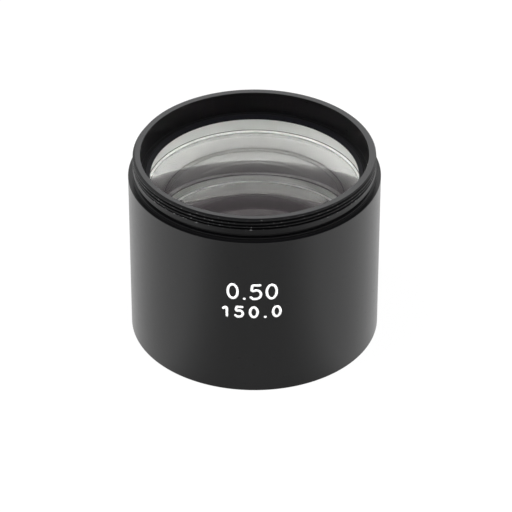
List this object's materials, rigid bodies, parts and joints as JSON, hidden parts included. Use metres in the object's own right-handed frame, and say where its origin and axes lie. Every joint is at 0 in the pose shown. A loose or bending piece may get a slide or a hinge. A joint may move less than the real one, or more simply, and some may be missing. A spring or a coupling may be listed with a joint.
{
  "type": "auxiliary microscope objective",
  "caption": "Short black metal tube with a threaded nose on top and hollow-ground lenses inside, which screws on under a stereo microscope to widen its field.",
  "frame": {"origin": "centre of the base, on the surface that the tube stands on", "axes": "+Z along the optical axis, from the base to the threaded nose; the printed numerals face -Y"},
  "size_m": [0.05, 0.05, 0.0399],
  "materials": {
    "black_anodised": "satin black anodised aluminium",
    "black_inner": "matt black anodised aluminium",
    "optical_glass": "polished and coated faces, finely ground edge"
  },
  "bodies": {
    "root": {"barrel": "black_anodised", "lower_lens": "optical_glass", "spacer_tube": "black_inner", "upper_lens": "optical_glass", "retaining_ring": "black_inner"}
  },
  "joints": []
}
